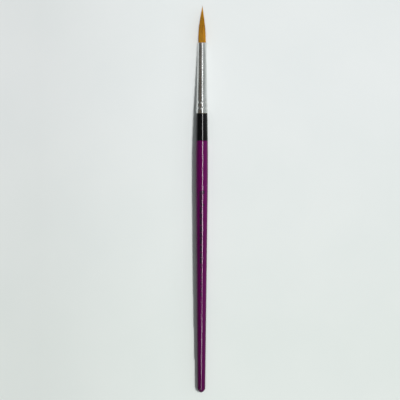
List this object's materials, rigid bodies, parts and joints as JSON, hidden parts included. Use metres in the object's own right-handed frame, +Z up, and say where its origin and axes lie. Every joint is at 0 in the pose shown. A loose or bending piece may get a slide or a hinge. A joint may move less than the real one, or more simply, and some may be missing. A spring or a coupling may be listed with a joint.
{
  "type": "fine detail brush",
  "caption": "Slim round detail brush: pointed golden filament tuft, crimped metal ferrule and tapered wooden handle lacquered purple with a black band.",
  "frame": {"origin": "on the surface the brush lies on, under the middle of its length", "axes": "+Y along the brush from its tail to its point, +Z up from the surface it lies on, +X to the right when seen from above with the point ahead"},
  "size_m": [0.0058, 0.185, 0.0058],
  "materials": {
    "wood": "matte",
    "purple_lacquer": "gloss",
    "black_lacquer": "gloss",
    "plated_metal": "satin",
    "wood_glue": "matte",
    "cement": "gloss",
    "thread": "matte",
    "filament": "satin"
  },
  "bodies": {
    "brush": {"wood_handle": "wood", "purple_lacquer": "purple_lacquer", "black_lacquer": "black_lacquer", "ferrule": "plated_metal", "tenon_glue": "wood_glue", "root_cement": "cement", "binding_thread": "thread", "root_bundle": "filament"},
    "tuft": {"core_lock": "filament", "inner_lock_01": "filament", "inner_lock_02": "filament", "inner_lock_03": "filament", "inner_lock_04": "filament", "inner_lock_05": "filament", "inner_lock_06": "filament", "outer_lock_01": "filament", "outer_lock_02": "filament", "outer_lock_03": "filament", "outer_lock_04": "filament", "outer_lock_05": "filament", "outer_lock_06": "filament", "outer_lock_07": "filament", "outer_lock_08": "filament", "outer_lock_09": "filament", "outer_lock_10": "filament", "outer_lock_11": "filament", "outer_lock_12": "filament"}
  },
  "joints": [
    {"name": "tuft_flex", "type": "hinge", "parent": "brush", "child": "tuft", "pos_m": [0, 0.07595, 0.00292], "axis": [0, 0, 1], "range_deg": [-35, 35], "stiffness_Nm_per_rad": 0.004}
  ]
}
